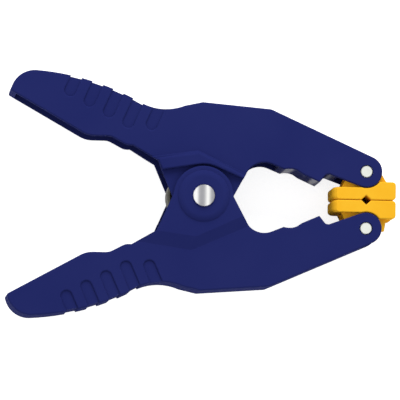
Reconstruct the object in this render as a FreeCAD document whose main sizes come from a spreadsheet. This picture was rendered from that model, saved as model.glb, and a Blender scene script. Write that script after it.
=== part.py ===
# A hand spring clamp: two identical moulded arms that cross at a steel pivot pin, a torsion spring
# coiled round the pin with a leg in each handle, and a swivelling pad on a pin in each jaw tip.
# The clamp lies on its side: Z is the pivot axis, X runs from the handles to the jaws.
# The origin is on the pivot axis, on the plane that the clamp rests on. Millimetres.
import FreeCAD, Part
import math
import os
import re
import Sketcher

SIZES = {
    # Widths, measured along the pivot axis
    "arm_width": 26.0,
    "side_wall": 3.0,
    "back_web": 3.0,
    "ear_plate": 3.0,
    "ear_gap": 0.3,
    "ear_rise": 2.0,
    # Ears and boss
    "lobe_radius": 15.0,
    "recess_radius": 16.0,
    "recess_left_slope": 9.7,
    "recess_right_slope": 23.6,
    "boss_radius": 12.8,
    "boss_rise": 1.5,
    "boss_round": 1.3,
    "ear_left": -40.0,
    "ear_right": 30.0,
    "crest_left_up": 15.7,
    "crest_apex_along": -3.4,
    "crest_apex_up": 20.3,
    "crest_right_up": 4.8,
    "ramp_run": 6.4,
    "band_left_up": 15.6,
    "band_apex_along": -2.5,
    "band_apex_up": 21.3,
    "band_right_up": 6.0,
    "band_run": 1.4,
    "apex_round": 5.0,
    "apex_shift": 0.33,
    "apex_lift": 1.05,
    # Side outline of the arm: throat and jaw
    "flank_along": 21.5,
    "flank_up": 12.1,
    "throat_along": 34.3,
    "throat_up": 16.85,
    "throat_radius": 10.15,
    "cusp_along": 40.4,
    "cusp_up": 14.35,
    "notch_along": 46.9,
    "notch_up": 14.0,
    "notch_radius": 9.5,
    "ridge_along": 49.4,
    "ridge_up": 12.3,
    "peak_along": 58.1,
    "peak_up": 8.4,
    # Side outline of the arm: pad end, measured from the pad pin
    "pad_pin_along": 81.5,
    "pad_pin_up": 14.2,
    "jaw_tip_radius": 7.9,
    "hollow_start": 20.6,
    "hollow_end": 17.6,
    "hollow_rise": 2.3,
    "hollow_radius": 2.6,
    "jaw_under_slope": 20.0,
    # Side outline of the arm: back and handle
    "shoulder_along": 33.4,
    "jaw_back_slope": 24.0,
    "shoulder_round": 6.0,
    "hump_along": -0.9,
    "hump_up": 47.0,
    "hump_round": 3.0,
    "valley_end_along": -9.8,
    "valley_end_up": 45.0,
    "valley_radius": 25.9,
    "valley_start_along": -32.7,
    "valley_start_up": 46.5,
    "handle_back_radius": 125.0,
    "handle_tip_along": -84.5,
    "handle_tip_up": 48.7,
    "handle_tip_radius": 12.3,
    "grip_edge_along": -57.7,
    "grip_edge_up": 28.9,
    "stop_along": -46.4,
    "stop_foot_along": -37.9,
    "stop_foot_up": 24.4,
    "nub_along": -35.4,
    "nub_up": 24.7,
    "root_along": -22.8,
    "root_up": 17.4,
    "root_turn": -3.0,
    "tip_corner_turn": 9.0,
    "tip_corner_round": 1.0,
    "grip_round": 13.0,
    "stop_round": 7.0,
    "nub_round": 1.0,
    # Hollow of the jaw
    "throat_web_along": 37.5,
    "jaw_web": 3.0,
    "throat_web_rise": 2.55,
    "peak_web_rise": 3.6,
    "pad_slot_back": 14.3,
    "pad_slot_radius": 9.4,
    # Grip grooves
    "groove_along": -68.3,
    "groove_up": 48.6,
    "groove_tilt": 24.0,
    "groove_pitch": 10.95,
    "groove_step": 0.65,
    "groove_width": 5.6,
    "groove_length": 17.0,
    "groove_depth": 1.0,
    "groove_back_depth": 0.7,
    "last_groove_lift": 4.7,
    "last_groove_floor": 43.6,
    # Pins
    "pin_radius": 4.0,
    "pin_clearance": 0.05,
    "pin_head_radius": 5.5,
    "pin_head_rise": 2.4,
    "pin_head_edge": 0.5,
    "pin_head_crown": 3.3,
    "pin_head_crown_rise": 1.75,
    "pin_end_depth": 0.3,
    "pin_end_chamfer": 0.4,
    "washer_radius": 6.1,
    "washer_thick": 0.7,
    "washer_dish": 0.4,
    "washer_slit": 0.8,
    "washer_seat_radius": 6.6,
    "washer_seat_depth": 2.0,
    "pad_pin_radius": 3.0,
    "pad_pin_fit": 0.01,
    "pad_pin_chamfer": 0.4,
    # Pads
    "pad_seam": 0.15,
    "pad_back": 17.0,
    "pad_front": 14.8,
    "pad_thick": 6.1,
    "pad_front_up": 9.2,
    "pad_saddle_clearance": 0.4,
    "pad_corner_round": 1.6,
    "pad_front_round": 1.8,
    "pad_groove_width": 4.8,
    "pad_groove_depth": 2.2,
    "lug_radius": 7.4,
    "lug_gap": 0.4,
    "lug_foot_back": 12.2,
    "lug_fin_front": 10.4,
    "lug_back_slope": 30.0,
    "lug_ear": 4.0,
    "fin_reach": 9.4,
    "fin_rise": 1.0,
    # Spring
    "wire_radius": 1.4,
    "coil_radius": 11.0,
    "coil_shift": -5.3,
    "coil_gap": 0.3,
    "leg_angle": 48.5,
    "leg_length": 54.0,
}
COIL_TURNS = 4
WIRE_SIDES = 8
GROOVES = 5
WASHER_SLITS = 6

document = FreeCAD.newDocument("SpringClamp")


def make_sheet():
    """Put every driving dimension in a sheet, one aliased cell each."""
    sheet = document.addObject("Spreadsheet::Sheet", "Sizes")
    for row, (name, value) in enumerate(SIZES.items(), start=1):
        sheet.set(f"A{row}", name)
        sheet.set(f"B{row}", str(value))
        sheet.setAlias(f"B{row}", name)
    document.recompute()
    return sheet


sheet = make_sheet()


def bound(text):
    """Return an expression in which each size's name points at its cell."""
    return re.sub(r"[a-z_]+", lambda word: "Sizes." * (word.group() in SIZES) + word.group(), text)


def value(text):
    """Return what an expression in the names of sizes comes to."""
    return sheet.evalExpression(bound(text))


def origin_plane(body, role):
    """Return the origin plane of a body that has the given role."""
    return next(item for item in body.Origin.OriginFeatures if item.Role == role)


def new_sketch(body, name, height="0", role="XY_Plane"):
    """Start a sketch on one of the body's own planes, lifted by an expression."""
    sketch = body.newObject("Sketcher::SketchObject", name)
    sketch.AttachmentSupport = [(origin_plane(body, role), "")]
    sketch.MapMode = "FlatFace"
    sketch.AttachmentOffset = FreeCAD.Placement(FreeCAD.Vector(0, 0, value(height)), FreeCAD.Rotation())
    if height != "0":
        sketch.setExpression("AttachmentOffset.Base.z", bound(height))
    return sketch


def bind(sketch, constraint, expression):
    """Add a constraint and tie its value to the sheet."""
    index = sketch.addConstraint(constraint)
    sketch.setExpression(f"Constraints[{index}]", bound(expression))


def arc_between(start, end, radius, turn):
    """Return the arc of under a half circle between two points that bends the given way."""
    chord = end - start
    middle = (start + end) * 0.5
    to_centre = FreeCAD.Vector(-chord.y, chord.x, 0).normalize() * (1 if turn == "left" else -1)
    depth = math.sqrt(max(radius ** 2 - (chord.Length / 2) ** 2, 0))
    centre = middle + to_centre * depth
    circle = Part.Circle(centre, FreeCAD.Vector(0, 0, 1), radius)
    first, last = (start, end) if turn == "left" else (end, start)
    return Part.ArcOfCircle(circle, circle.parameter(first), circle.parameter(last))


def outline(sketch, steps):
    """Draw a closed outline. Each step ends at a point given by two expressions, and
    one that also has a radius and a turn gets there along an arc, else along a line."""
    points = [FreeCAD.Vector(value(step[0]), value(step[1]), 0) for step in steps]
    starts = []
    ends = []
    for number, step in enumerate(steps):
        start = points[number - 1]
        end = points[number]
        if len(step) == 2:
            piece = sketch.addGeometry(Part.LineSegment(start, end))
            starts.append((piece, 1))
            ends.append((piece, 2))
            continue
        arc = arc_between(start, end, value(step[2]), step[3])
        piece = sketch.addGeometry(arc)
        starts.append((piece, 1 if step[3] == "left" else 2))
        ends.append((piece, 2 if step[3] == "left" else 1))
    for number, step in enumerate(steps):
        following = (number + 1) % len(steps)
        sketch.addConstraint(Sketcher.Constraint("Coincident", *ends[number], *starts[following]))
        bind(sketch, Sketcher.Constraint("DistanceX", -1, 1, *ends[number], points[number].x), step[0])
        bind(sketch, Sketcher.Constraint("DistanceY", -1, 1, *ends[number], points[number].y), step[1])
        if len(step) > 2:
            bind(sketch, Sketcher.Constraint("Radius", ends[number][0], value(step[2])), step[2])


def circle(sketch, along, up, radius):
    """Draw a circle whose centre and radius are expressions."""
    centre = FreeCAD.Vector(value(along), value(up), 0)
    piece = sketch.addGeometry(Part.Circle(centre, FreeCAD.Vector(0, 0, 1), value(radius)))
    bind(sketch, Sketcher.Constraint("Radius", piece, value(radius)), radius)
    if (along, up) == ("0", "0"):
        sketch.addConstraint(Sketcher.Constraint("Coincident", piece, 3, -1, 1))
        return
    bind(sketch, Sketcher.Constraint("DistanceX", -1, 1, piece, 3, centre.x), along)
    bind(sketch, Sketcher.Constraint("DistanceY", -1, 1, piece, 3, centre.y), up)


def extrude(body, kind, name, sketch, length, downward=False, symmetric=False):
    """Add a pad or pocket of a bound length and check that it changed the solid."""
    before = 0 if body.Shape.isNull() else body.Shape.Volume
    feature = body.newObject(f"PartDesign::{kind}", name)
    feature.Profile = sketch
    feature.SideType = "Symmetric" if symmetric else "One side"
    feature.setExpression("Length", bound(length))
    adds = kind == "Pad"
    feature.Reversed = downward == adds and not symmetric
    document.recompute()
    grown = body.Shape.Volume - before
    if (grown > 0) != adds or abs(grown) < 0.01:
        raise ValueError(f"{name} changed nothing")
    return feature


def dress_edges(body, kind, name, size, places):
    """Add a fillet or chamfer on the edges of a body that pass nearest to the given places.
    A place without a height is that of an upright edge."""
    base = body.Tip
    picked = []
    for place in places:
        middle = FreeCAD.Vector(value(place[0]), value(place[1]), value(place[2]) if len(place) > 2 else 0)
        nearest = min(base.Shape.Edges, key=lambda edge: edge.distToShape(Part.Vertex(middle))[0])
        picked.append(f"Edge{next(n for n, edge in enumerate(base.Shape.Edges, 1) if edge.isSame(nearest))}")
    feature = body.newObject(f"PartDesign::{kind}", name)
    feature.Base = (base, picked)
    feature.setExpression("Radius" if kind == "Fillet" else "Size", bound(size))
    document.recompute()
    if not feature.isValid():
        raise ValueError(f"{name} is not made")


HALF_WIDTH = "arm_width / 2"
EAR_FACE = "(arm_width / 2 + ear_rise)"
INNER_EAR_FACE = "(arm_width / 2 + ear_rise - ear_plate - ear_gap)"
REST_HEIGHT = "(arm_width / 2 + ear_rise + boss_rise)"
EAR_CREST = ("crest_left_up", "crest_apex_along", "crest_apex_up", "crest_right_up")
BAND_CREST = ("band_left_up", "band_apex_along", "band_apex_up", "band_right_up")
TIP_BACK_ALONG = "(pad_pin_along + jaw_tip_radius * sin(jaw_back_slope))"
TIP_BACK_UP = "(pad_pin_up + jaw_tip_radius * cos(jaw_back_slope))"
SHOULDER_UP = f"({TIP_BACK_UP} + ({TIP_BACK_ALONG} - shoulder_along) * tan(jaw_back_slope))"
HOLLOW_END_UP = (
    "(pad_pin_up - jaw_tip_radius / cos(jaw_under_slope) + hollow_end * tan(jaw_under_slope))"
)
WEB_DROP = "back_web / cos(jaw_back_slope / 2)"
TIP_CORNER_ALONG = "handle_tip_along - handle_tip_radius * cos(tip_corner_turn)"
TIP_CORNER_UP = "handle_tip_up + handle_tip_radius * sin(tip_corner_turn)"

BACK_RUN = "(valley_start_along - handle_tip_along)"
BACK_FALL = "(handle_tip_up + handle_tip_radius - valley_start_up)"
BACK_CHORD = f"sqrt({BACK_RUN}^2 + {BACK_FALL}^2)"
BACK_SAG = f"sqrt(handle_back_radius^2 - {BACK_CHORD}^2 / 4)"
BACK_CENTRE_ALONG = (
    f"((valley_start_along + handle_tip_along) / 2 - {BACK_SAG} * {BACK_FALL} / {BACK_CHORD})"
)
BACK_CENTRE_UP = (
    f"((valley_start_up + handle_tip_up + handle_tip_radius) / 2 - {BACK_SAG} * {BACK_RUN} / {BACK_CHORD})"
)


def arm_steps():
    """Return the side outline of an arm, from the ear's front corner round to the lobe."""
    return [
        ("0", "-lobe_radius", "lobe_radius", "left"),
        ("lobe_radius", "0", "lobe_radius", "left"),
        ("flank_along", "flank_up"),
        ("throat_along", "throat_up", "throat_radius", "right"),
        ("cusp_along", "cusp_up"),
        ("notch_along", "notch_up", "notch_radius", "right"),
        ("ridge_along", "ridge_up"),
        ("peak_along", "peak_up"),
        ("pad_pin_along - hollow_start", "pad_pin_up - hollow_rise"),
        ("pad_pin_along - hollow_end", HOLLOW_END_UP, "hollow_radius", "right"),
        (
            "pad_pin_along - jaw_tip_radius * sin(jaw_under_slope)",
            "pad_pin_up - jaw_tip_radius * cos(jaw_under_slope)",
        ),
        ("pad_pin_along + jaw_tip_radius", "pad_pin_up", "jaw_tip_radius", "left"),
        (TIP_BACK_ALONG, TIP_BACK_UP, "jaw_tip_radius", "left"),
        ("shoulder_along", SHOULDER_UP),
        ("hump_along", "hump_up"),
        ("valley_end_along", "valley_end_up"),
        ("valley_start_along", "valley_start_up", "valley_radius", "right"),
        ("handle_tip_along", "handle_tip_up + handle_tip_radius", "handle_back_radius", "left"),
        (TIP_CORNER_ALONG, TIP_CORNER_UP, "handle_tip_radius", "left"),
        ("grip_edge_along", "grip_edge_up"),
        ("stop_along", "grip_edge_up"),
        ("stop_foot_along", "stop_foot_up"),
        ("nub_along", "nub_up"),
        ("root_along", "root_up"),
        ("-lobe_radius * cos(root_turn)", "lobe_radius * sin(root_turn)"),
    ]


def ear_line(radius, right_end):
    """Return the steps of a line across an arm, from the handle side to the jaw side: a round
    over the pivot with a straight run down past each flank."""
    left = "recess_left_slope"
    right = "recess_right_slope"
    return [
        ("ear_left", f"({radius}) / cos({left}) + ear_left * tan({left})"),
        (f"-({radius}) * sin({left})", f"({radius}) * cos({left})"),
        (f"({radius}) * sin({right})", f"({radius}) * cos({right})", radius, "right"),
        (right_end, f"({radius}) / cos({right}) - {right_end} * tan({right})"),
    ]


def ear_steps():
    """Return the outline of the zone round the pivot that the ears of the other arm sweep."""
    return [
        ("ear_left", "-2 * lobe_radius"),
        *ear_line("recess_radius", "ear_right"),
        ("ear_right", "-2 * lobe_radius"),
    ]


def away_steps(left_up, apex_along, apex_up, right_up, run):
    """Return the outline of all of the arm past a bent line across it, above the ears,
    where the line is moved out by a run."""
    return [
        ("ear_left", f"{left_up} + {run}"),
        ("ear_left", "-lobe_radius"),
        ("2 * handle_tip_along", "-lobe_radius"),
        ("2 * handle_tip_along", "2 * handle_tip_up"),
        ("2 * pad_pin_along", "2 * handle_tip_up"),
        ("2 * pad_pin_along", "-lobe_radius"),
        ("ear_right", "-lobe_radius"),
        ("ear_right", f"{right_up} + {run}"),
        (f"{apex_along} - {run} * apex_shift", f"{apex_up} + {run} * apex_lift"),
    ]


def hollow_steps(lower):
    """Return the outline of the space between an arm's side walls, one web inside its back.
    It is open below, where the given steps close it."""
    return [
        *lower,
        ("throat_web_along", "throat_up + throat_web_rise"),
        ("notch_along", "notch_up + jaw_web"),
        ("peak_along", "peak_up + peak_web_rise"),
        ("pad_pin_along - hollow_start", f"{HOLLOW_END_UP} + jaw_web"),
        ("pad_pin_along - pad_slot_back", f"{HOLLOW_END_UP} + jaw_web"),
        ("pad_pin_along - pad_slot_back", "0"),
        ("pad_pin_along", "0"),
        ("pad_pin_along", "pad_pin_up + (jaw_tip_radius - back_web) / cos(jaw_back_slope)"),
        ("shoulder_along", f"{SHOULDER_UP} - {WEB_DROP}"),
        ("hump_along", f"hump_up - {WEB_DROP}"),
        ("valley_end_along", f"valley_end_up - {WEB_DROP}"),
        ("valley_start_along", f"valley_start_up - {WEB_DROP}", "valley_radius + back_web", "right"),
        (
            "handle_tip_along",
            "handle_tip_up + handle_tip_radius - back_web",
            "handle_back_radius - back_web",
            "left",
        ),
        (
            "handle_tip_along - (handle_tip_radius - back_web)",
            "handle_tip_up",
            "handle_tip_radius - back_web",
            "left",
        ),
    ]


def cut_between(body, name, outer, inner):
    """Cut the space between two sketches of an arm."""
    before = body.Shape.Volume
    feature = body.newObject("PartDesign::SubtractiveLoft", name)
    feature.Profile = outer
    feature.Sections = [inner]
    feature.Ruled = True
    document.recompute()
    if body.Shape.Volume >= before - 0.01:
        raise ValueError(f"{name} changed nothing")


def build_arm(name, washer_seat):
    """Build one arm. Its outer ear with the boss is below, its inner ear above."""
    body = document.addObject("PartDesign::Body", name)
    body.Label = name
    blank = new_sketch(body, "Side")
    outline(blank, arm_steps())
    extrude(body, "Pad", "Blank", blank, "2 * " + EAR_FACE, symmetric=True)
    dress_edges(body, "Fillet", "TipCorner", "tip_corner_round", [(TIP_CORNER_ALONG, TIP_CORNER_UP)])
    dress_edges(body, "Fillet", "GripEdge", "grip_round", [("grip_edge_along", "grip_edge_up")])
    stops = [("stop_along", "grip_edge_up"), ("stop_foot_along", "stop_foot_up")]
    dress_edges(body, "Fillet", "FingerStop", "stop_round", stops)
    dress_edges(body, "Fillet", "Nub", "nub_round", [("nub_along", "nub_up")])
    dress_edges(body, "Fillet", "Shoulder", "shoulder_round", [("shoulder_along", SHOULDER_UP)])
    dress_edges(body, "Fillet", "Hump", "hump_round", [("hump_along", "hump_up")])

    # The side faces lie lower than the ears, which end in a ramp
    ears = new_sketch(body, "EarCrest", "-" + EAR_FACE)
    outline(ears, away_steps(*EAR_CREST, "0"))
    foot = new_sketch(body, "EarFoot", "-" + HALF_WIDTH)
    outline(foot, away_steps(*EAR_CREST, "ramp_run"))
    cut_between(body, "OuterEarRamp", ears, foot)
    band = new_sketch(body, "BandCrest", EAR_FACE)
    outline(band, away_steps(*BAND_CREST, "0"))
    band_foot = new_sketch(body, "BandFoot", HALF_WIDTH)
    outline(band_foot, away_steps(*BAND_CREST, "band_run"))
    cut_between(body, "BandRamp", band, band_foot)

    apex = (
        "crest_apex_along - ramp_run * apex_shift / 2",
        "crest_apex_up + ramp_run * apex_lift / 2",
        "-(arm_width + ear_rise) / 2",
    )
    dress_edges(body, "Fillet", "RampApex", "apex_round", [apex])

    # The two ears nest: the inner one is recessed outside, the outer one is relieved inside
    recess = new_sketch(body, "EarRecess", INNER_EAR_FACE)
    outline(recess, ear_steps())
    extrude(body, "Pocket", "Recess", recess, "arm_width / 2")
    relief = new_sketch(body, "EarRelief", "-(arm_width / 2 + ear_rise - ear_plate)")
    outline(relief, ear_steps())
    extrude(body, "Pocket", "Relief", relief, "arm_width / 2")

    # The space between the side walls is shallower beside the inner ear
    channel = new_sketch(body, "ChannelSide", f"-{HALF_WIDTH} + side_wall")
    below = [
        ("handle_tip_along - (handle_tip_radius - back_web)", "-2 * lobe_radius"),
        ("throat_web_along", "-2 * lobe_radius"),
    ]
    outline(channel, hollow_steps(below))
    extrude(body, "Pocket", "Channel", channel, f"{HALF_WIDTH} - side_wall + {INNER_EAR_FACE} - ear_plate")
    deep = new_sketch(body, "DeepChannelSide")
    outline(deep, hollow_steps(ear_line("recess_radius + side_wall", "throat_web_along")))
    extrude(body, "Pocket", "DeepChannel", deep, f"{HALF_WIDTH} - side_wall")
    slot = new_sketch(body, "PadSlotSide")
    circle(slot, "pad_pin_along", "pad_pin_up", "pad_slot_radius")
    extrude(body, "Pocket", "PadSlot", slot, "arm_width - 2 * side_wall", symmetric=True)

    boss = new_sketch(body, "BossSide", "-" + EAR_FACE)
    circle(boss, "0", "0", "boss_radius")
    extrude(body, "Pad", "Boss", boss, "boss_rise", downward=True)
    dress_edges(body, "Chamfer", "BossRim", "boss_round", [("-boss_radius", "0", "-" + REST_HEIGHT)])
    bore = new_sketch(body, "BoreSide", "-" + REST_HEIGHT)
    circle(bore, "0", "0", "pin_radius + pin_clearance")
    extrude(body, "Pocket", "Bore", bore, "2 * " + REST_HEIGHT)
    if washer_seat:
        seat = new_sketch(body, "WasherSeatSide", "-" + REST_HEIGHT)
        circle(seat, "0", "0", "washer_seat_radius")
        extrude(body, "Pocket", "WasherSeat", seat, "washer_seat_depth")
    pad_bore = new_sketch(body, "PadBoreSide", "-" + HALF_WIDTH)
    circle(pad_bore, "pad_pin_along", "pad_pin_up", "pad_pin_radius + pad_pin_fit")
    extrude(body, "Pocket", "PadBore", pad_bore, "arm_width")
    cut_grooves(body)
    return body


def groove_middles():
    """Return where each grip groove lies across their common direction, and where it ends."""
    middles = [(f"{number} * groove_pitch", f"-{number} * groove_step") for number in range(GROOVES)]
    across, lift = middles[-1]
    middles[-1] = (across, f"{lift} + last_groove_lift")
    return middles


def groove_sketch(body, name, height):
    """Start a sketch in which the grip grooves run straight up."""
    sketch = new_sketch(body, name, height)
    turned = FreeCAD.Rotation(FreeCAD.Vector(0, 0, 1), -value("groove_tilt"))
    start = FreeCAD.Vector(value("groove_along"), value("groove_up"), value(height))
    sketch.AttachmentOffset = FreeCAD.Placement(start, turned)
    sketch.setExpression("AttachmentOffset.Base.x", bound("groove_along"))
    sketch.setExpression("AttachmentOffset.Base.y", bound("groove_up"))
    sketch.setExpression("AttachmentOffset.Rotation.Angle", bound("-groove_tilt"))
    return sketch


def arch_floor(across):
    """Return how far up a groove its floor on the arched back of the handle lies."""
    along = f"({BACK_CENTRE_ALONG} - groove_along)"
    up = f"({BACK_CENTRE_UP} - groove_up)"
    centre_across = f"({along} * cos(groove_tilt) - {up} * sin(groove_tilt))"
    centre_up = f"({along} * sin(groove_tilt) + {up} * cos(groove_tilt))"
    return f"{centre_up} + sqrt((handle_back_radius - groove_back_depth)^2 - ({across} - {centre_across})^2)"


def valley_floor(across):
    """Return how far up a groove its level floor in the valley of the back lies."""
    return f"(last_groove_floor - groove_up + ({across}) * sin(groove_tilt)) / cos(groove_tilt)"


def cut_grooves(body):
    """Cut the grip grooves, which run round from one side face over the back to the other."""
    half = "groove_width / 2"
    for side, height, downward in (
        ("Near", f"{HALF_WIDTH} - groove_depth", False),
        ("Far", f"-({HALF_WIDTH} - groove_depth)", True),
    ):
        sketch = groove_sketch(body, f"{side}GrooveSide", height)
        for middle, lift in groove_middles():
            steps = [
                (middle, lift, half, "left"),
                (f"{middle} + {half}", f"{lift} + {half}", half, "left"),
                (f"{middle} + {half}", "groove_length"),
                (f"{middle} - {half}", "groove_length"),
                (f"{middle} - {half}", f"{lift} + {half}"),
            ]
            outline(sketch, steps)
        extrude(body, "Pocket", f"{side}Grooves", sketch, "2 * groove_depth", downward)
    back = groove_sketch(body, "BackGrooveSide", "0")
    for number, (middle, _) in enumerate(groove_middles()):
        left = f"{middle} - {half}"
        right = f"{middle} + {half}"
        floor = valley_floor if number == GROOVES - 1 else arch_floor
        steps = [
            (left, floor(left)),
            (right, floor(right)),
            (right, "2 * groove_length"),
            (left, "2 * groove_length"),
        ]
        outline(back, steps)
    extrude(body, "Pocket", "BackGrooves", back, "arm_width", symmetric=True)


def place(body, turned):
    """Put a body that is drawn about the middle of the clamp in its place. A turned one
    is the same piece for the other jaw, rolled half a turn about the X axis."""
    roll = FreeCAD.Rotation(FreeCAD.Vector(1, 0, 0), 180 if turned else 0)
    body.Placement = FreeCAD.Placement(FreeCAD.Vector(0, 0, value(REST_HEIGHT)), roll)
    body.setExpression("Placement.Base.z", bound(REST_HEIGHT))


def build_pad(name):
    """Build one jaw pad: a slab with a saddle that rolls round the jaw tip, and a lug on the pad pin."""
    body = document.addObject("PartDesign::Body", name)
    body.Label = name
    saddle = "(jaw_tip_radius + pad_saddle_clearance)"
    back_up = "(pad_seam + pad_thick)"
    slab = new_sketch(body, "SlabSide")
    steps = [
        ("pad_pin_along - pad_back", "pad_seam"),
        ("pad_pin_along - pad_groove_width / 2", "pad_seam"),
        ("pad_pin_along", "pad_seam + pad_groove_depth"),
        ("pad_pin_along + pad_groove_width / 2", "pad_seam"),
        ("pad_pin_along + pad_front", "pad_seam"),
        ("pad_pin_along + pad_front", "pad_front_up"),
        (f"pad_pin_along + sqrt({saddle}^2 - (pad_pin_up - pad_front_up)^2)", "pad_front_up"),
        (f"pad_pin_along - sqrt({saddle}^2 - (pad_pin_up - {back_up})^2)", back_up, saddle, "right"),
        ("pad_pin_along - pad_back", back_up),
    ]
    outline(slab, steps)
    extrude(body, "Pad", "Slab", slab, "arm_width", symmetric=True)
    back = [("pad_pin_along - pad_back", "pad_seam"), ("pad_pin_along - pad_back", back_up)]
    dress_edges(body, "Fillet", "BackCorners", "pad_corner_round", back)
    front = [("pad_pin_along + pad_front", "pad_seam"), ("pad_pin_along + pad_front", "pad_front_up")]
    dress_edges(body, "Fillet", "FrontCorners", "pad_front_round", front)

    lug = new_sketch(body, "LugSide")
    steps = [
        ("pad_pin_along - lug_foot_back", "pad_seam + pad_groove_depth"),
        ("pad_pin_along + lug_fin_front", "pad_seam + pad_groove_depth"),
        ("pad_pin_along + lug_fin_front", "pad_front_up"),
        ("pad_pin_along + lug_radius", "pad_pin_up"),
        ("pad_pin_along", "pad_pin_up + lug_radius", "lug_radius", "left"),
        (
            "pad_pin_along - lug_radius * cos(lug_back_slope)",
            "pad_pin_up + lug_radius * sin(lug_back_slope)",
            "lug_radius",
            "left",
        ),
        ("pad_pin_along - lug_foot_back", back_up),
    ]
    outline(lug, steps)
    extrude(body, "Pad", "Lug", lug, "arm_width - 2 * side_wall - 2 * lug_gap", symmetric=True)
    # On one ear the fin in front of the lug runs up past the pin
    fin = new_sketch(body, "FinSide", "-arm_width / 2 + side_wall + lug_gap")
    steps = [
        ("pad_pin_along", "pad_front_up"),
        ("pad_pin_along + lug_fin_front", "pad_front_up"),
        ("pad_pin_along + fin_reach", "pad_pin_up + fin_rise"),
        ("pad_pin_along", "pad_pin_up + fin_rise"),
    ]
    outline(fin, steps)
    extrude(body, "Pad", "Fin", fin, "lug_ear")
    core = new_sketch(body, "CoreSide")
    steps = [
        ("pad_pin_along - pad_back", back_up),
        ("pad_pin_along + pad_front", back_up),
        ("pad_pin_along + pad_front", "pad_pin_up + 2 * lug_radius"),
        ("pad_pin_along - pad_back", "pad_pin_up + 2 * lug_radius"),
    ]
    outline(core, steps)
    between_ears = "arm_width - 2 * side_wall - 2 * lug_gap - 2 * lug_ear"
    extrude(body, "Pocket", "LugCore", core, between_ears, symmetric=True)
    bore = new_sketch(body, "BoreSide", "-" + HALF_WIDTH)
    circle(bore, "pad_pin_along", "pad_pin_up", "pad_pin_radius + pin_clearance")
    extrude(body, "Pocket", "Bore", bore, "arm_width")
    return body


def build_pad_pin(name):
    """Build the short pin through a jaw tip, flush with the side faces."""
    body = document.addObject("PartDesign::Body", name)
    body.Label = name
    section = new_sketch(body, "Section")
    circle(section, "pad_pin_along", "pad_pin_up", "pad_pin_radius")
    extrude(body, "Pad", "Shank", section, "arm_width", symmetric=True)
    rims = [("pad_pin_along - pad_pin_radius", "pad_pin_up", side + HALF_WIDTH) for side in ("", "-")]
    dress_edges(body, "Chamfer", "Rims", "pad_pin_chamfer", rims)
    return body


def revolve(body, name, steps):
    """Turn an outline drawn beside the Z axis round that axis."""
    sketch = new_sketch(body, f"{name}Outline", role="XZ_Plane")
    outline(sketch, steps)
    feature = body.newObject("PartDesign::Revolution", name)
    feature.Profile = sketch
    feature.ReferenceAxis = (sketch, ["V_Axis"])
    feature.Angle = 360
    document.recompute()
    if not feature.isValid():
        raise ValueError(f"{name} is not turned")


def build_pivot_pin():
    """Build the steel pivot pin, whose low crowned head rests on the upper boss."""
    body = document.addObject("PartDesign::Body", "pivot_pin")
    body.Label = "pivot_pin"
    seat = f"(2 * {REST_HEIGHT})"
    steps = [
        ("0", "pin_end_depth"),
        ("pin_radius - pin_end_chamfer", "pin_end_depth"),
        ("pin_radius", "pin_end_depth + pin_end_chamfer"),
        ("pin_radius", seat),
        ("pin_head_radius", seat),
        ("pin_head_radius", f"{seat} + pin_head_edge"),
        ("pin_head_crown", f"{seat} + pin_head_crown_rise"),
        ("0", f"{seat} + pin_head_rise"),
    ]
    revolve(body, "Pin", steps)
    return body


def build_washer():
    """Build the push-on washer in the lower boss: a dished ring with slits that grips the pin."""
    body = document.addObject("PartDesign::Body", "pin_washer")
    body.Label = "pin_washer"
    top = "(washer_seat_depth - pin_clearance)"
    steps = [
        ("pin_radius", f"{top} - washer_thick - washer_dish"),
        ("washer_radius", f"{top} - washer_thick"),
        ("washer_radius", top),
        ("pin_radius", f"{top} - washer_dish"),
    ]
    revolve(body, "Ring", steps)
    slit = new_sketch(body, "SlitSection")
    half = "washer_slit / 2"
    reach = "(pin_radius + washer_radius) / 2"
    outline(slit, [("0", f"-{half}"), (reach, f"-{half}"), (reach, half), ("0", half)])
    cut = extrude(body, "Pocket", "Slit", slit, "washer_seat_depth")
    slits = body.newObject("PartDesign::PolarPattern", "Slits")
    slits.Originals = [cut]
    slits.Axis = (slit, ["N_Axis"])
    slits.Angle = 360
    slits.Occurrences = WASHER_SLITS
    body.Tip = slits
    document.recompute()
    return body


def biarc(start, start_tangent, end, end_tangent):
    """Return two arcs that join two points and meet each other and both tangents smoothly."""
    across = end - start
    both = start_tangent + end_tangent
    bend = 2 * (1 - start_tangent.dot(end_tangent))
    root = math.sqrt(across.dot(both) ** 2 + bend * across.dot(across))
    reach = (root - across.dot(both)) / bend
    first_corner = start + start_tangent * reach
    second_corner = end - end_tangent * reach
    joint = (first_corner + second_corner) * 0.5
    joint_tangent = (second_corner - first_corner).normalize()
    arcs = []
    for near, tangent, far in ((start, start_tangent, joint), (joint, joint_tangent, end)):
        chord = far - near
        side = (chord - tangent * chord.dot(tangent)).normalize()
        half_turn = math.atan2(chord.dot(side), chord.dot(tangent))
        radius = chord.Length / (2 * math.sin(half_turn))
        middle = near + tangent * radius * math.sin(half_turn) + side * radius * (1 - math.cos(half_turn))
        arcs.append(Part.Arc(near, middle, far))
    return arcs


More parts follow.
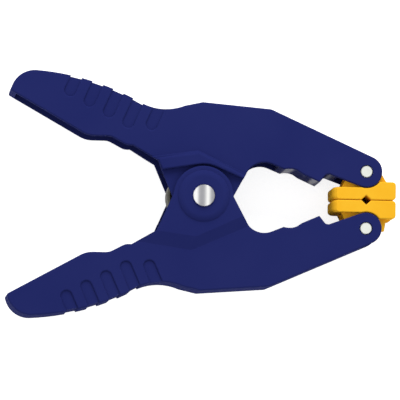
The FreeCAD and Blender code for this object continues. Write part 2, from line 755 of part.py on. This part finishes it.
def build_spring():
    """Build the torsion spring: one wire that comes down a leg from the upper handle, winds
    round the pin and leaves down the other leg to the lower handle."""
    wire = value("wire_radius")
    radius = value("coil_radius")
    shift = value("coil_shift")
    top = value(f"{INNER_EAR_FACE} - ear_plate - coil_gap - wire_radius")
    sweep = math.radians(360 * COIL_TURNS + 2 * value("leg_angle"))
    steps = 4 * COIL_TURNS + 2
    rise = -2 * top / (radius * sweep)
    points = []
    tangents = []
    for step in range(steps + 1):
        angle = math.radians(value("leg_angle")) - sweep * step / steps
        height = top * (1 - 2 * step / steps)
        across = radius * math.cos(angle)
        points.append(FreeCAD.Vector(shift + across, radius * math.sin(angle), height))
        slope = 0 if step in (0, steps) else rise
        tangents.append(FreeCAD.Vector(math.sin(angle), -math.cos(angle), slope).normalize())
    curves = []
    for step in range(steps):
        curves.extend(biarc(points[step], tangents[step], points[step + 1], tangents[step + 1]))
    leg = value("leg_length")
    first = points[0] - tangents[0] * leg
    last = points[-1] + tangents[-1] * leg
    path = [Part.LineSegment(first, points[0]), *curves, Part.LineSegment(points[-1], last)]
    edges = [piece.toShape() for piece in path]
    rim = Part.Circle(first, tangents[0], wire)
    corners = [rim.value(2 * math.pi * corner / WIRE_SIDES) for corner in range(WIRE_SIDES)]
    section = Part.makePolygon([*corners, corners[0]])
    tube = Part.Wire(edges).makePipeShell([section], True, False)
    print("least gap between the spring's turns:", round(least_gap(path) - 2 * wire, 2), "mm")
    spring = document.addObject("Part::Feature", "torsion_spring")
    spring.Label = "torsion_spring"
    spring.Shape = tube
    spring.Placement = FreeCAD.Placement(FreeCAD.Vector(0, 0, value(REST_HEIGHT)), FreeCAD.Rotation())
    return spring


def least_gap(path):
    """Return the least distance between points of a path that are over half a turn apart along it."""
    apart = math.pi * value("coil_radius")
    marks = []
    travelled = 0
    for piece in path:
        length = piece.length()
        count = max(2, round(length / value("wire_radius")))
        for number in range(count):
            reached = length * number / count
            marks.append((travelled + reached, piece.value(piece.parameterAtDistance(reached))))
        travelled += length
    return min(
        first.distanceToPoint(second)
        for at, first in marks
        for other, second in marks
        if other - at > apart
    )


def check(parts):
    """Stop unless every object of the document is up to date and every piece is one sound solid."""
    document.recompute()
    for item in document.Objects:
        if "Invalid" in item.State or "Error" in item.State:
            raise ValueError(f"{item.Label} did not build")
    for part in parts:
        if part.Shape.isNull() or not part.Shape.isValid() or len(part.Shape.Solids) != 1:
            raise ValueError(f"{part.Label} is not one sound solid")


upper_arm = build_arm("upper_arm", washer_seat=True)
lower_arm = build_arm("lower_arm", washer_seat=False)
upper_pad = build_pad("upper_pad")
lower_pad = build_pad("lower_pad")
upper_pad_pin = build_pad_pin("upper_pad_pin")
lower_pad_pin = build_pad_pin("lower_pad_pin")
for body in (upper_arm, upper_pad, upper_pad_pin):
    place(body, turned=False)
for body in (lower_arm, lower_pad, lower_pad_pin):
    place(body, turned=True)
PARTS = [
    upper_arm,
    lower_arm,
    upper_pad,
    lower_pad,
    upper_pad_pin,
    lower_pad_pin,
    build_pivot_pin(),
    build_washer(),
    build_spring(),
]
check(PARTS)
os.makedirs("parts", exist_ok=True)
for part in PARTS:
    part.Shape.exportStep(f"parts/{part.Label}.step")
    print(part.Label, round(part.Shape.Volume), part.Shape.BoundBox)
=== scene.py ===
import math

import bmesh
import bpy
from mathutils import Matrix, Vector


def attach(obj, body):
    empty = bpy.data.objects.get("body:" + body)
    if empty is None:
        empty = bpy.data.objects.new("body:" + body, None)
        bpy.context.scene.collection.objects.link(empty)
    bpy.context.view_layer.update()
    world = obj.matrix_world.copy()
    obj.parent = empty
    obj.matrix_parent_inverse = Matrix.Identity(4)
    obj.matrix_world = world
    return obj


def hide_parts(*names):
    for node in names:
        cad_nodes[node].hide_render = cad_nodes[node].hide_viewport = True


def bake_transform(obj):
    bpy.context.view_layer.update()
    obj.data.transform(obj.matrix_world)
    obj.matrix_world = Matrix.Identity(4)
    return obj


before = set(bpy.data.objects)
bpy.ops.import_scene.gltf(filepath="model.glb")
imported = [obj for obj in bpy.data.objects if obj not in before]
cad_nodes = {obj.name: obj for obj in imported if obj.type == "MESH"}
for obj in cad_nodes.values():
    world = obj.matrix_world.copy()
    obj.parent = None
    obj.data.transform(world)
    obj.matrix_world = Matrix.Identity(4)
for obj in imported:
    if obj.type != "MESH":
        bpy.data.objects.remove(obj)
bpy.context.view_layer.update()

# The arms are two copies of one moulding in dark blue glass-filled nylon, the upper one turned
# over. The mould gives them a fine even grain, and their edges are rounded.
ARM_BLUE = (0.0155, 0.0212, 0.1245)
ARM_BLUE_PALE = (0.0180, 0.0240, 0.1315)
ARM_GRAIN = 0.0004
ARM_FLOW = 0.03
ARM_SHEEN = (0.8, 0.9)
PLASTIC_GLOSS = 0.03
SHEEN_SHARE = 0.25
GRAIN_DEPTH = 0.125
GRAIN_STRENGTH = 0.2
NOISE_RANGE = (0.3, 0.7)
SIDE_HEIGHTS = (0.0035, 0.0295)
EAR_HEIGHTS = (0.0015, 0.0315)
BOSS_HEIGHTS = (0.0, 0.033)
SIDE_RIM = 0.0008
EAR_RIM = 0.0008
BOSS_RIM = 0.0018
RIM_STEPS = 3
BOSS_STEPS = 6
CREASE = math.radians(14)
FLAT = math.radians(1)
SHARP = math.radians(30)
LEVEL = 0.99
SAME_PLACE = 1e-6
SAME_HEIGHT = 2e-5
SAME_RADIUS = 3e-5
CORE_SMOOTHING = 0.55
CORE_MIDDLE = (0.051, 0.0, 0.0165)
CORE_REACH = (0.015, 0.0215, 0.0115)
DRAG_WIDTH = 0.005
DRAG_STRETCH = (1, 1, 0.03)
DRAG_MARKS = ((0.42, 0.2), (0.58, 1.0))
PAD_PIN = (0.0815, 0.0142)
PAD_BORE = 0.00301
PAD_BORE_MOUTH = 0.0033
PIVOT_BORE = 0.00405
PIVOT_BORE_MOUTH = 0.0058


def new_material(name):
    """Return a new material with its nodes, its links and its surface shader."""
    material = bpy.data.materials.new(name)
    material.use_nodes = True
    tree = material.node_tree
    return material, tree.nodes, tree.links, tree.nodes["Principled BSDF"]


def object_noise(nodes, links, size, detail, stretch=(1, 1, 1)):
    """Return a noise pattern in the object's own metres, whose lumps have about the given size."""
    place = nodes.new("ShaderNodeTexCoord")
    mapping = nodes.new("ShaderNodeMapping")
    mapping.inputs["Scale"].default_value = stretch
    noise = nodes.new("ShaderNodeTexNoise")
    noise.inputs["Scale"].default_value = 1 / size
    noise.inputs["Detail"].default_value = detail
    links.new(place.outputs["Object"], mapping.inputs["Vector"])
    links.new(mapping.outputs["Vector"], noise.inputs["Vector"])
    return noise.outputs["Fac"]


def ramp(nodes, links, factor, low, high, reach=NOISE_RANGE):
    """Return a blend from one colour to another as a pattern goes through its reach."""
    blend = nodes.new("ShaderNodeValToRGB")
    for stop, place, colour in zip(blend.color_ramp.elements, reach, (low, high)):
        stop.position = place
        stop.color = (*colour, 1)
    links.new(factor, blend.inputs["Fac"])
    return blend.outputs["Color"]


def span(nodes, links, factor, low, high):
    """Return a noise pattern mapped to a range of plain numbers."""
    scale = nodes.new("ShaderNodeMapRange")
    scale.inputs["From Min"].default_value = NOISE_RANGE[0]
    scale.inputs["From Max"].default_value = NOISE_RANGE[1]
    scale.inputs["To Min"].default_value = low
    scale.inputs["To Max"].default_value = high
    links.new(factor, scale.inputs["Value"])
    return scale.outputs["Result"]


def bump(nodes, links, shader, height, distance, strength):
    """Raise a surface by a height pattern over a distance in metres."""
    relief = nodes.new("ShaderNodeBump")
    relief.inputs["Distance"].default_value = distance
    relief.inputs["Strength"].default_value = strength
    links.new(height, relief.inputs["Height"])
    links.new(relief.outputs["Normal"], shader.inputs["Normal"])


def moulded(name, colour, pale, grain, flow, roughness):
    """Return a moulded plastic: fine grain, faint flow marks and slightly uneven sheen."""
    material, nodes, links, shader = new_material(name)
    cloud = object_noise(nodes, links, flow, 3)
    links.new(ramp(nodes, links, cloud, colour, pale), shader.inputs["Base Color"])
    sheen = object_noise(nodes, links, flow * SHEEN_SHARE, 4)
    links.new(span(nodes, links, sheen, *roughness), shader.inputs["Roughness"])
    shader.inputs["Specular IOR Level"].default_value = PLASTIC_GLOSS
    fine = object_noise(nodes, links, grain, 2)
    bump(nodes, links, shader, fine, grain * GRAIN_DEPTH, GRAIN_STRENGTH)
    return material


def mark_creases(shell):
    """Mark the edges that stay sharp under soft shading."""
    for edge in shell.edges:
        edge.smooth = edge.calc_face_angle(0) < CREASE


def pattern_of(nodes, links, factor, stops, smoothing="LINEAR"):
    """Return a pattern that follows the stops, each a position and a value from 0 to 1."""
    steps = nodes.new("ShaderNodeValToRGB")
    steps.color_ramp.interpolation = smoothing
    marks = steps.color_ramp.elements
    for number, (where, much) in enumerate(stops):
        mark = marks[number] if number < 2 else marks.new(where)
        mark.position = where
        mark.color = (much, much, much, 1)
    links.new(factor, steps.inputs["Fac"])
    return steps.outputs["Color"]


def joined(nodes, links, operation, first, second):
    """Return a sum, product or the like of two patterns, or of a pattern and a number."""
    result = nodes.new("ShaderNodeMath")
    result.operation = operation
    for socket, given in zip(result.inputs, (first, second)):
        if isinstance(given, float):
            socket.default_value = given
        else:
            links.new(given, socket)
    return result.outputs[0]


def smooth_core(material):
    """Smooth the webs between the walls of the jaw, where the mould's core left drag marks."""
    tree = material.node_tree
    nodes, links = tree.nodes, tree.links
    drag = object_noise(nodes, links, DRAG_WIDTH, 2, DRAG_STRETCH)
    core = pattern_of(nodes, links, drag, DRAG_MARKS)
    place = nodes.new("ShaderNodeTexCoord")
    spot = nodes.new("ShaderNodeSeparateXYZ")
    links.new(place.outputs["Object"], spot.inputs["Vector"])
    for axis, middle, reach in zip("XYZ", CORE_MIDDLE, CORE_REACH):
        inside = nodes.new("ShaderNodeMath")
        inside.operation = "COMPARE"
        inside.inputs[1].default_value = middle
        inside.inputs[2].default_value = reach
        links.new(spot.outputs[axis], inside.inputs[0])
        core = joined(nodes, links, "MULTIPLY", inside.outputs[0], core)
    smoothing = joined(nodes, links, "MULTIPLY", core, CORE_SMOOTHING)
    roughness = nodes["Principled BSDF"].inputs["Roughness"]
    sheen = roughness.links[0].from_socket
    links.new(joined(nodes, links, "SUBTRACT", sheen, smoothing), roughness)


def merged_copy(node):
    """Return the mesh of a frame node with its triangles joined into whole faces and its sharp
    edges marked."""
    shell = bmesh.new()
    shell.from_mesh(cad_nodes[node].data)
    bmesh.ops.remove_doubles(shell, verts=shell.verts, dist=SAME_PLACE)
    bmesh.ops.dissolve_limit(shell, angle_limit=FLAT, verts=shell.verts, edges=shell.edges)
    mark_creases(shell)
    return shell


def at_height(corner, heights):
    """Tell whether a corner of a mesh lies at one of the given heights."""
    return any(abs(corner.co.z - height) < SAME_HEIGHT for height in heights)


def rims(shell, heights):
    """Return the outward edges round the flat faces at the given heights."""
    found = []
    for edge in shell.edges:
        on_level = all(at_height(corner, heights) for corner in edge.verts)
        flats = sum(abs(face.normal.z) > LEVEL for face in edge.link_faces)
        if on_level and flats == 1 and edge.calc_face_angle_signed(0) > SHARP:
            found.append(edge)
    return found


def is_bore(edge):
    """Tell whether an edge is part of the mouth of a pad pin's bore."""
    corner = edge.verts[0].co
    away = math.hypot(corner.x - PAD_PIN[0], abs(corner.y) - PAD_PIN[1])
    return abs(away - PAD_BORE) < SAME_RADIUS


def round_off(shell, edges, size, steps=RIM_STEPS):
    """Round edges to a radius in a number of steps."""
    for edge in edges:
        edge.smooth = True
    bmesh.ops.bevel(
        shell,
        geom=edges,
        affect="EDGES",
        offset=size,
        offset_type="OFFSET",
        segments=steps,
        profile=0.5,
        material=-1,
        clamp_overlap=False,
    )


def finish_piece(name, shell, material, body):
    """Make a piece of a finished mesh, with soft shading, its material and its body. A piece
    that two bodies share is given no body here."""
    mesh = bpy.data.meshes.new(name)
    shell.to_mesh(mesh)
    shell.free()
    mesh.polygons.foreach_set("use_smooth", [True] * len(mesh.polygons))
    mesh.materials.append(material)
    piece = bpy.data.objects.new(name, mesh)
    bpy.context.collection.objects.link(piece)
    even = piece.modifiers.new("even_shading", "WEIGHTED_NORMAL")
    even.keep_sharp = True
    if body:
        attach(piece, body)
    return piece


def widen_bore(shell, place, radius, heights, wider):
    """Open the corners of a bore at the given heights out to a wider radius."""
    for corner in shell.verts:
        out = Vector((corner.co.x - place[0], corner.co.y - place[1], 0))
        if at_height(corner, heights) and abs(out.length - radius) < SAME_RADIUS:
            corner.co += out.normalized() * (wider - out.length)


arm_plastic = moulded("arm_plastic", ARM_BLUE, ARM_BLUE_PALE, ARM_GRAIN, ARM_FLOW, ARM_SHEEN)
smooth_core(arm_plastic)
for node, body in (("lower_arm", "lower_side"), ("upper_arm", "upper_side")):
    shell = merged_copy(node)
    sides = [edge for edge in rims(shell, SIDE_HEIGHTS) if not is_bore(edge)]
    round_off(shell, sides, SIDE_RIM)
    round_off(shell, rims(shell, EAR_HEIGHTS), EAR_RIM)
    round_off(shell, rims(shell, BOSS_HEIGHTS), BOSS_RIM, BOSS_STEPS)
    for side in (-1, 1):
        widen_bore(shell, (PAD_PIN[0], PAD_PIN[1] * side), PAD_BORE, SIDE_HEIGHTS, PAD_BORE_MOUTH)
    widen_bore(shell, (0, 0), PIVOT_BORE, BOSS_HEIGHTS[1:], PIVOT_BORE_MOUTH)
    arm = finish_piece(f"{node}_moulding", shell, arm_plastic, body)
    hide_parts(node)

# The jaw pads are softer moulded plastic in bright yellow, with ears that straddle the pad pin
# inside the jaw tip. Their edges are rounded, and the throat ends lean back to both sides.
PAD_YELLOW = (0.98, 0.53, 0.028)
PAD_YELLOW_DEEP = (0.96, 0.49, 0.022)
PAD_GRAIN = 0.0005
PAD_FLOW = 0.008
PAD_SHEEN = (0.75, 0.85)
PAD_RIM = 0.0006
PAD_CORNER_END = 0.0662
END_LEAN = 0.0018
END_REACH = 0.0045
END_STEPS = 6
CUT_MATCH = 1e-7


def at_throat_end(face):
    """Tell whether a face of a pad lies wholly at its throat end."""
    return max(corner.co.x for corner in face.verts) < PAD_CORNER_END


def lean_end(shell):
    """Lean the throat end of a pad's slab back towards both of its side faces."""
    low, high = SIDE_HEIGHTS
    for step in range(1, END_STEPS + 1):
        for level in (low + END_REACH * step / END_STEPS, high - END_REACH * step / END_STEPS):
            end = [face for face in shell.faces if at_throat_end(face)]
            edges = {edge for face in end for edge in face.edges}
            corners = {corner for face in end for corner in face.verts}
            bmesh.ops.bisect_plane(
                shell,
                geom=end + list(edges) + list(corners),
                dist=CUT_MATCH,
                plane_co=(0, 0, level),
                plane_no=(0, 0, 1),
            )
    for corner in shell.verts:
        depth = min(corner.co.z - low, high - corner.co.z)
        if corner.co.x < PAD_CORNER_END and depth < END_REACH:
            corner.co.x += END_LEAN * (1 - depth / END_REACH) ** 2
    mark_creases(shell)


pad_plastic = moulded("pad_plastic", PAD_YELLOW, PAD_YELLOW_DEEP, PAD_GRAIN, PAD_FLOW, PAD_SHEEN)
for node, body in (("lower_pad", "lower_jaw_pad"), ("upper_pad", "upper_jaw_pad")):
    shell = merged_copy(node)
    lean_end(shell)
    round_off(shell, rims(shell, SIDE_HEIGHTS), PAD_RIM)
    pad = finish_piece(f"{node}_moulding", shell, pad_plastic, body)
    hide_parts(node)

# The pivot pin is turned steel with a low domed head, and a push-on washer holds its other end.
# Two pale bands of painted reflection lie across the head, lighter than the rest of the steel.
PIN_RADIUS = 0.004
PIN_END = 0.0003
PIN_CHAMFER = 0.0004
HEAD_SEAT = 0.033
HEAD_RADIUS = 0.0055
HEAD_EDGE = 0.0006
HEAD_TOP = 0.0353
DOME_STEPS = 10
TURNED_SIDES = 64
PIN_STEEL = (0.36, 0.36, 0.385)
PIN_STEEL_DULL = (0.32, 0.32, 0.345)
PIN_SHEEN = (0.3, 0.42)
PIN_LAY = (1, 0.1, 1)
METAL_CLOUD = 0.002
METAL_CLOUD_RANGE = (0.4, 0.8)
METAL_LINE = 0.0003
LINE_DEPTH = 0.00002
LINE_STRENGTH = 0.3
# Painted reflection: the near-white that the steel is lightened to in two bands across the head,
# and where those bands lie.
REFLECTION_WHITE = (1, 1, 0.98)
REFLECTION_BANDS = (
    (0.0, 0.7),
    (0.1, 1.0),
    (0.18, 1.0),
    (0.28, 0.0),
    (0.5, 0.0),
    (0.63, 1.0),
    (0.7, 1.0),
    (0.82, 0.0),
    (1.0, 0.0),
)


def bare_metal(name, colour, dull, roughness, lay):
    """Return bare metal whose fine lines run along the lay."""
    material, nodes, links, shader = new_material(name)
    cloud = object_noise(nodes, links, METAL_CLOUD, 4)
    tone = ramp(nodes, links, cloud, colour, dull, METAL_CLOUD_RANGE)
    links.new(tone, shader.inputs["Base Color"])
    lines = object_noise(nodes, links, METAL_LINE, 3, lay)
    links.new(span(nodes, links, lines, *roughness), shader.inputs["Roughness"])
    shader.inputs["Metallic"].default_value = 1
    bump(nodes, links, shader, lines, LINE_DEPTH, LINE_STRENGTH)
    return material


def paint_reflection_bands(material):
    """Paint two bands of reflection across the pin's head, lightening the steel there."""
    tree = material.node_tree
    nodes, links = tree.nodes, tree.links
    place = nodes.new("ShaderNodeTexCoord")
    split = nodes.new("ShaderNodeSeparateXYZ")
    links.new(place.outputs["Object"], split.inputs["Vector"])
    across = nodes.new("ShaderNodeMapRange")
    across.inputs["From Min"].default_value = -HEAD_RADIUS
    across.inputs["From Max"].default_value = HEAD_RADIUS
    links.new(split.outputs["X"], across.inputs["Value"])
    # The bands are painted reflection in the base colour, not a real finish of the steel.
    bands = pattern_of(nodes, links, across.outputs["Result"], REFLECTION_BANDS, "B_SPLINE")
    colour = nodes["Principled BSDF"].inputs["Base Color"]
    painted_reflection = nodes.new("ShaderNodeMix")
    painted_reflection.data_type = "RGBA"
    links.new(bands, painted_reflection.inputs["Factor"])
    links.new(colour.links[0].from_socket, painted_reflection.inputs["A"])
    painted_reflection.inputs["B"].default_value = (*REFLECTION_WHITE, 1)
    links.new(painted_reflection.outputs["Result"], colour)


pin_steel = bare_metal("pin_steel", PIN_STEEL, PIN_STEEL_DULL, PIN_SHEEN, PIN_LAY)
paint_reflection_bands(pin_steel)
shell = bmesh.new()
profile = [
    Vector((0, 0, PIN_END)),
    Vector((PIN_RADIUS - PIN_CHAMFER, 0, PIN_END)),
    Vector((PIN_RADIUS, 0, PIN_END + PIN_CHAMFER)),
    Vector((PIN_RADIUS, 0, HEAD_SEAT)),
    Vector((HEAD_RADIUS, 0, HEAD_SEAT)),
]
rise = HEAD_TOP - HEAD_SEAT - HEAD_EDGE
for step in range(DOME_STEPS + 1):
    turn = math.pi / 2 * step / DOME_STEPS
    height = HEAD_SEAT + HEAD_EDGE + rise * math.sin(turn)
    profile.append(Vector((HEAD_RADIUS * math.cos(turn), 0, height)))
corners = [shell.verts.new(point) for point in profile]
for near, far in zip(corners, corners[1:]):
    shell.edges.new((near, far))
bmesh.ops.spin(
    shell,
    geom=shell.verts[:] + shell.edges[:],
    cent=(0, 0, 0),
    axis=(0, 0, 1),
    dvec=(0, 0, 0),
    angle=2 * math.pi,
    steps=TURNED_SIDES,
    use_merge=True,
)
bmesh.ops.remove_doubles(shell, verts=shell.verts, dist=SAME_PLACE)
bmesh.ops.recalc_face_normals(shell, faces=shell.faces)
pin = finish_piece("pivot_pin_turned", shell, pin_steel, "lower_side")
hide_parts("pivot_pin")

# The pad pins are short lengths of aluminium rod. They are pressed in flush with the side walls
# of the jaw tips, and a pad swings on each.
ROD_ALUMINIUM = (0.84, 0.87, 0.81)
ROD_ALUMINIUM_DULL = (0.78, 0.80, 0.76)
ROD_SHEEN = (0.45, 0.6)
ROD_LAY = (1, 1, 0.2)
rod = bare_metal("rivet_aluminium", ROD_ALUMINIUM, ROD_ALUMINIUM_DULL, ROD_SHEEN, ROD_LAY)
for pad_pin in ("lower_pad_pin", "upper_pad_pin"):
    cad_nodes[pad_pin].data.materials[0] = rod

# The spring is one length of hard-drawn wire, which the drawing die and oil leave dark. It is
# wound round the pin, and each leg lies in the channel of one handle.
WIRE_RADIUS = 0.0014
COIL_RADIUS = 0.011
COIL_CENTRE = Vector((-0.0053, 0, 0))
COIL_LOW = 0.0095
COIL_HIGH = 0.0235
LEG_ANGLE = math.radians(48.5)
COIL_TURNS = 4
COIL_SWEEP = COIL_TURNS * 2 * math.pi + 2 * LEG_ANGLE
COIL_STEPS = 150
LEG_LENGTH = 0.054
WIRE_SIDES = 20
WIRE_END_ROUND = 0.0003
WIRE_DARK = (0.10, 0.098, 0.085)
WIRE_DARKER = (0.055, 0.053, 0.045)
WIRE_SHEEN = (0.3, 0.5)
WIRE_LAY = (1, 1, 1)
spring_steel = bare_metal("spring_steel", WIRE_DARK, WIRE_DARKER, WIRE_SHEEN, WIRE_LAY)
shell = bmesh.new()
outward = Vector((math.cos(LEG_ANGLE), math.sin(LEG_ANGLE), 0))
up_the_leg = Vector((-math.sin(LEG_ANGLE), math.cos(LEG_ANGLE), 0))
upright = Matrix((outward, Vector((0, 0, 1)), up_the_leg)).transposed().to_4x4()
start = COIL_CENTRE + outward * COIL_RADIUS + Vector((0, 0, COIL_HIGH))
bmesh.ops.create_circle(
    shell,
    cap_ends=False,
    segments=WIRE_SIDES,
    radius=WIRE_RADIUS,
    matrix=Matrix.Translation(start) @ upright,
)
first_loop = list(shell.edges)
coil = bmesh.ops.spin(
    shell,
    geom=shell.verts[:] + shell.edges[:],
    cent=COIL_CENTRE,
    axis=(0, 0, 1),
    dvec=(0, 0, (COIL_LOW - COIL_HIGH) / COIL_STEPS),
    angle=-COIL_SWEEP,
    steps=COIL_STEPS,
)
last_loop = [item for item in coil["geom_last"] if isinstance(item, bmesh.types.BMEdge)]
down_the_leg = Vector((-math.sin(LEG_ANGLE), -math.cos(LEG_ANGLE), 0))
for loop, way in ((first_loop, up_the_leg), (last_loop, down_the_leg)):
    leg = bmesh.ops.extrude_edge_only(shell, edges=loop)
    tips = [item for item in leg["geom"] if isinstance(item, bmesh.types.BMVert)]
    bmesh.ops.translate(shell, verts=tips, vec=way * LEG_LENGTH)
bmesh.ops.holes_fill(shell, edges=shell.edges)
bmesh.ops.recalc_face_normals(shell, faces=shell.faces)
tip_faces = [face for face in shell.faces if len(face.verts) == WIRE_SIDES]
tip_edges = [edge for face in tip_faces for edge in face.edges]
round_off(shell, tip_edges, WIRE_END_ROUND)
spring = finish_piece("torsion_spring_wire", shell, spring_steel, None)
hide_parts("torsion_spring")
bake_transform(spring)

# The push-on washer is the same dark spring steel, pressed into a shallow dish with slits. It
# grips the end of the pivot pin in its seat in the lower boss.
cad_nodes["pin_washer"].data.materials[0] = spring_steel

# The clamp lies on a plain white table of matt board, which the camera sees as paper white. The
# table glows only where it is looked at or mirrored, so it throws no more light on the clamp.
FLOOR_SIZE = 6.0
FLOOR_GLOW = 0.8
BOARD_WHITE = (0.85, 0.85, 0.85)
BOARD_ROUGHNESS = 0.9
BOARD_GLOSS = 0.1
floor_mesh = bpy.data.meshes.new("floor")
outline = bmesh.new()
bmesh.ops.create_grid(outline, x_segments=1, y_segments=1, size=FLOOR_SIZE / 2)
outline.to_mesh(floor_mesh)
outline.free()
floor = bpy.data.objects.new("floor", floor_mesh)
bpy.context.collection.objects.link(floor)


def white_to_eye(nodes, links):
    """Return a value of 1 for what the camera, metal or glass sees, and 0 for other light."""
    seen = nodes.new("ShaderNodeLightPath").outputs
    direct = joined(nodes, links, "MAXIMUM", seen["Is Camera Ray"], seen["Is Glossy Ray"])
    return joined(nodes, links, "MAXIMUM", direct, seen["Is Transmission Ray"])


table, table_nodes, table_links, board = new_material("white_table")
board.inputs["Base Color"].default_value = (*BOARD_WHITE, 1)
board.inputs["Roughness"].default_value = BOARD_ROUGHNESS
board.inputs["Specular IOR Level"].default_value = BOARD_GLOSS
shown = white_to_eye(table_nodes, table_links)
strength = joined(table_nodes, table_links, "MULTIPLY", shown, FLOOR_GLOW)
glow = table_nodes.new("ShaderNodeEmission")
table_links.new(strength, glow.inputs["Strength"])
both = table_nodes.new("ShaderNodeAddShader")
table_links.new(board.outputs["BSDF"], both.inputs[0])
table_links.new(glow.outputs[0], both.inputs[1])
table_links.new(both.outputs[0], table_nodes["Material Output"].inputs["Surface"])
floor_mesh.materials.append(table)

# Soft studio light: an even pale room, and one broad soft box behind the top of the picture. The
# soft box is kept out of reflections, so that the metal shows the plain room.
ROOM_LIGHT = 0.7
KEY_PLACE = (0.1, 1.0, 0.7)
KEY_SIZE = 0.8
KEY_POWER = 9
world = bpy.data.worlds.new("room")
world.use_nodes = True
bpy.context.scene.world = world
room_nodes = world.node_tree.nodes
room_links = world.node_tree.links
room = room_nodes["Background"]
room.inputs["Color"].default_value = (1, 1, 1, 1)
level = room_nodes.new("ShaderNodeMapRange")
level.inputs["To Min"].default_value = ROOM_LIGHT
level.inputs["To Max"].default_value = 1
room_links.new(white_to_eye(room_nodes, room_links), level.inputs["Value"])
room_links.new(level.outputs["Result"], room.inputs["Strength"])
lamp = bpy.data.lights.new("key", "AREA")
lamp.size = KEY_SIZE
lamp.energy = KEY_POWER
soft_box = bpy.data.objects.new("key", lamp)
soft_box.location = KEY_PLACE
soft_box.rotation_euler = (-Vector(KEY_PLACE)).to_track_quat("-Z", "Y").to_euler()
soft_box.visible_glossy = False
bpy.context.collection.objects.link(soft_box)

# The camera looks almost straight down from far away, a little from the handle side and from the
# lower handle, so it sees a thin strip of the walls that face those ways.
CAMERA_DISTANCE = 2.45
VIEW_WIDTH = 0.1986
CAMERA_WEST = math.radians(4.9)
CAMERA_SOUTH = math.radians(5.12)
CAMERA_ROLL = math.radians(0.91)
NEAR_SIDE = 0.0295
PIVOT_RIGHT = 0.0017
PIVOT_ABOVE = 0.00197
FILM_WIDTH = 36
FARTHEST = 20
back = Vector((-math.tan(CAMERA_WEST), -math.tan(CAMERA_SOUTH), 1)).normalized()
up = Vector((-math.sin(CAMERA_ROLL), math.cos(CAMERA_ROLL), 0))
right = up.cross(back).normalized()
up = back.cross(right)
centre = Vector((0, 0, NEAR_SIDE)) - right * PIVOT_RIGHT - up * PIVOT_ABOVE
lens = bpy.data.cameras.new("camera")
lens.sensor_width = FILM_WIDTH
lens.lens = FILM_WIDTH * CAMERA_DISTANCE / VIEW_WIDTH
lens.clip_end = FARTHEST
camera = bpy.data.objects.new("camera", lens)
turned = Matrix((right, up, back)).transposed().to_4x4()
camera.matrix_world = Matrix.Translation(centre + back * CAMERA_DISTANCE) @ turned
bpy.context.collection.objects.link(camera)
bpy.context.scene.camera = camera
bpy.context.scene.view_settings.view_transform = "Standard"
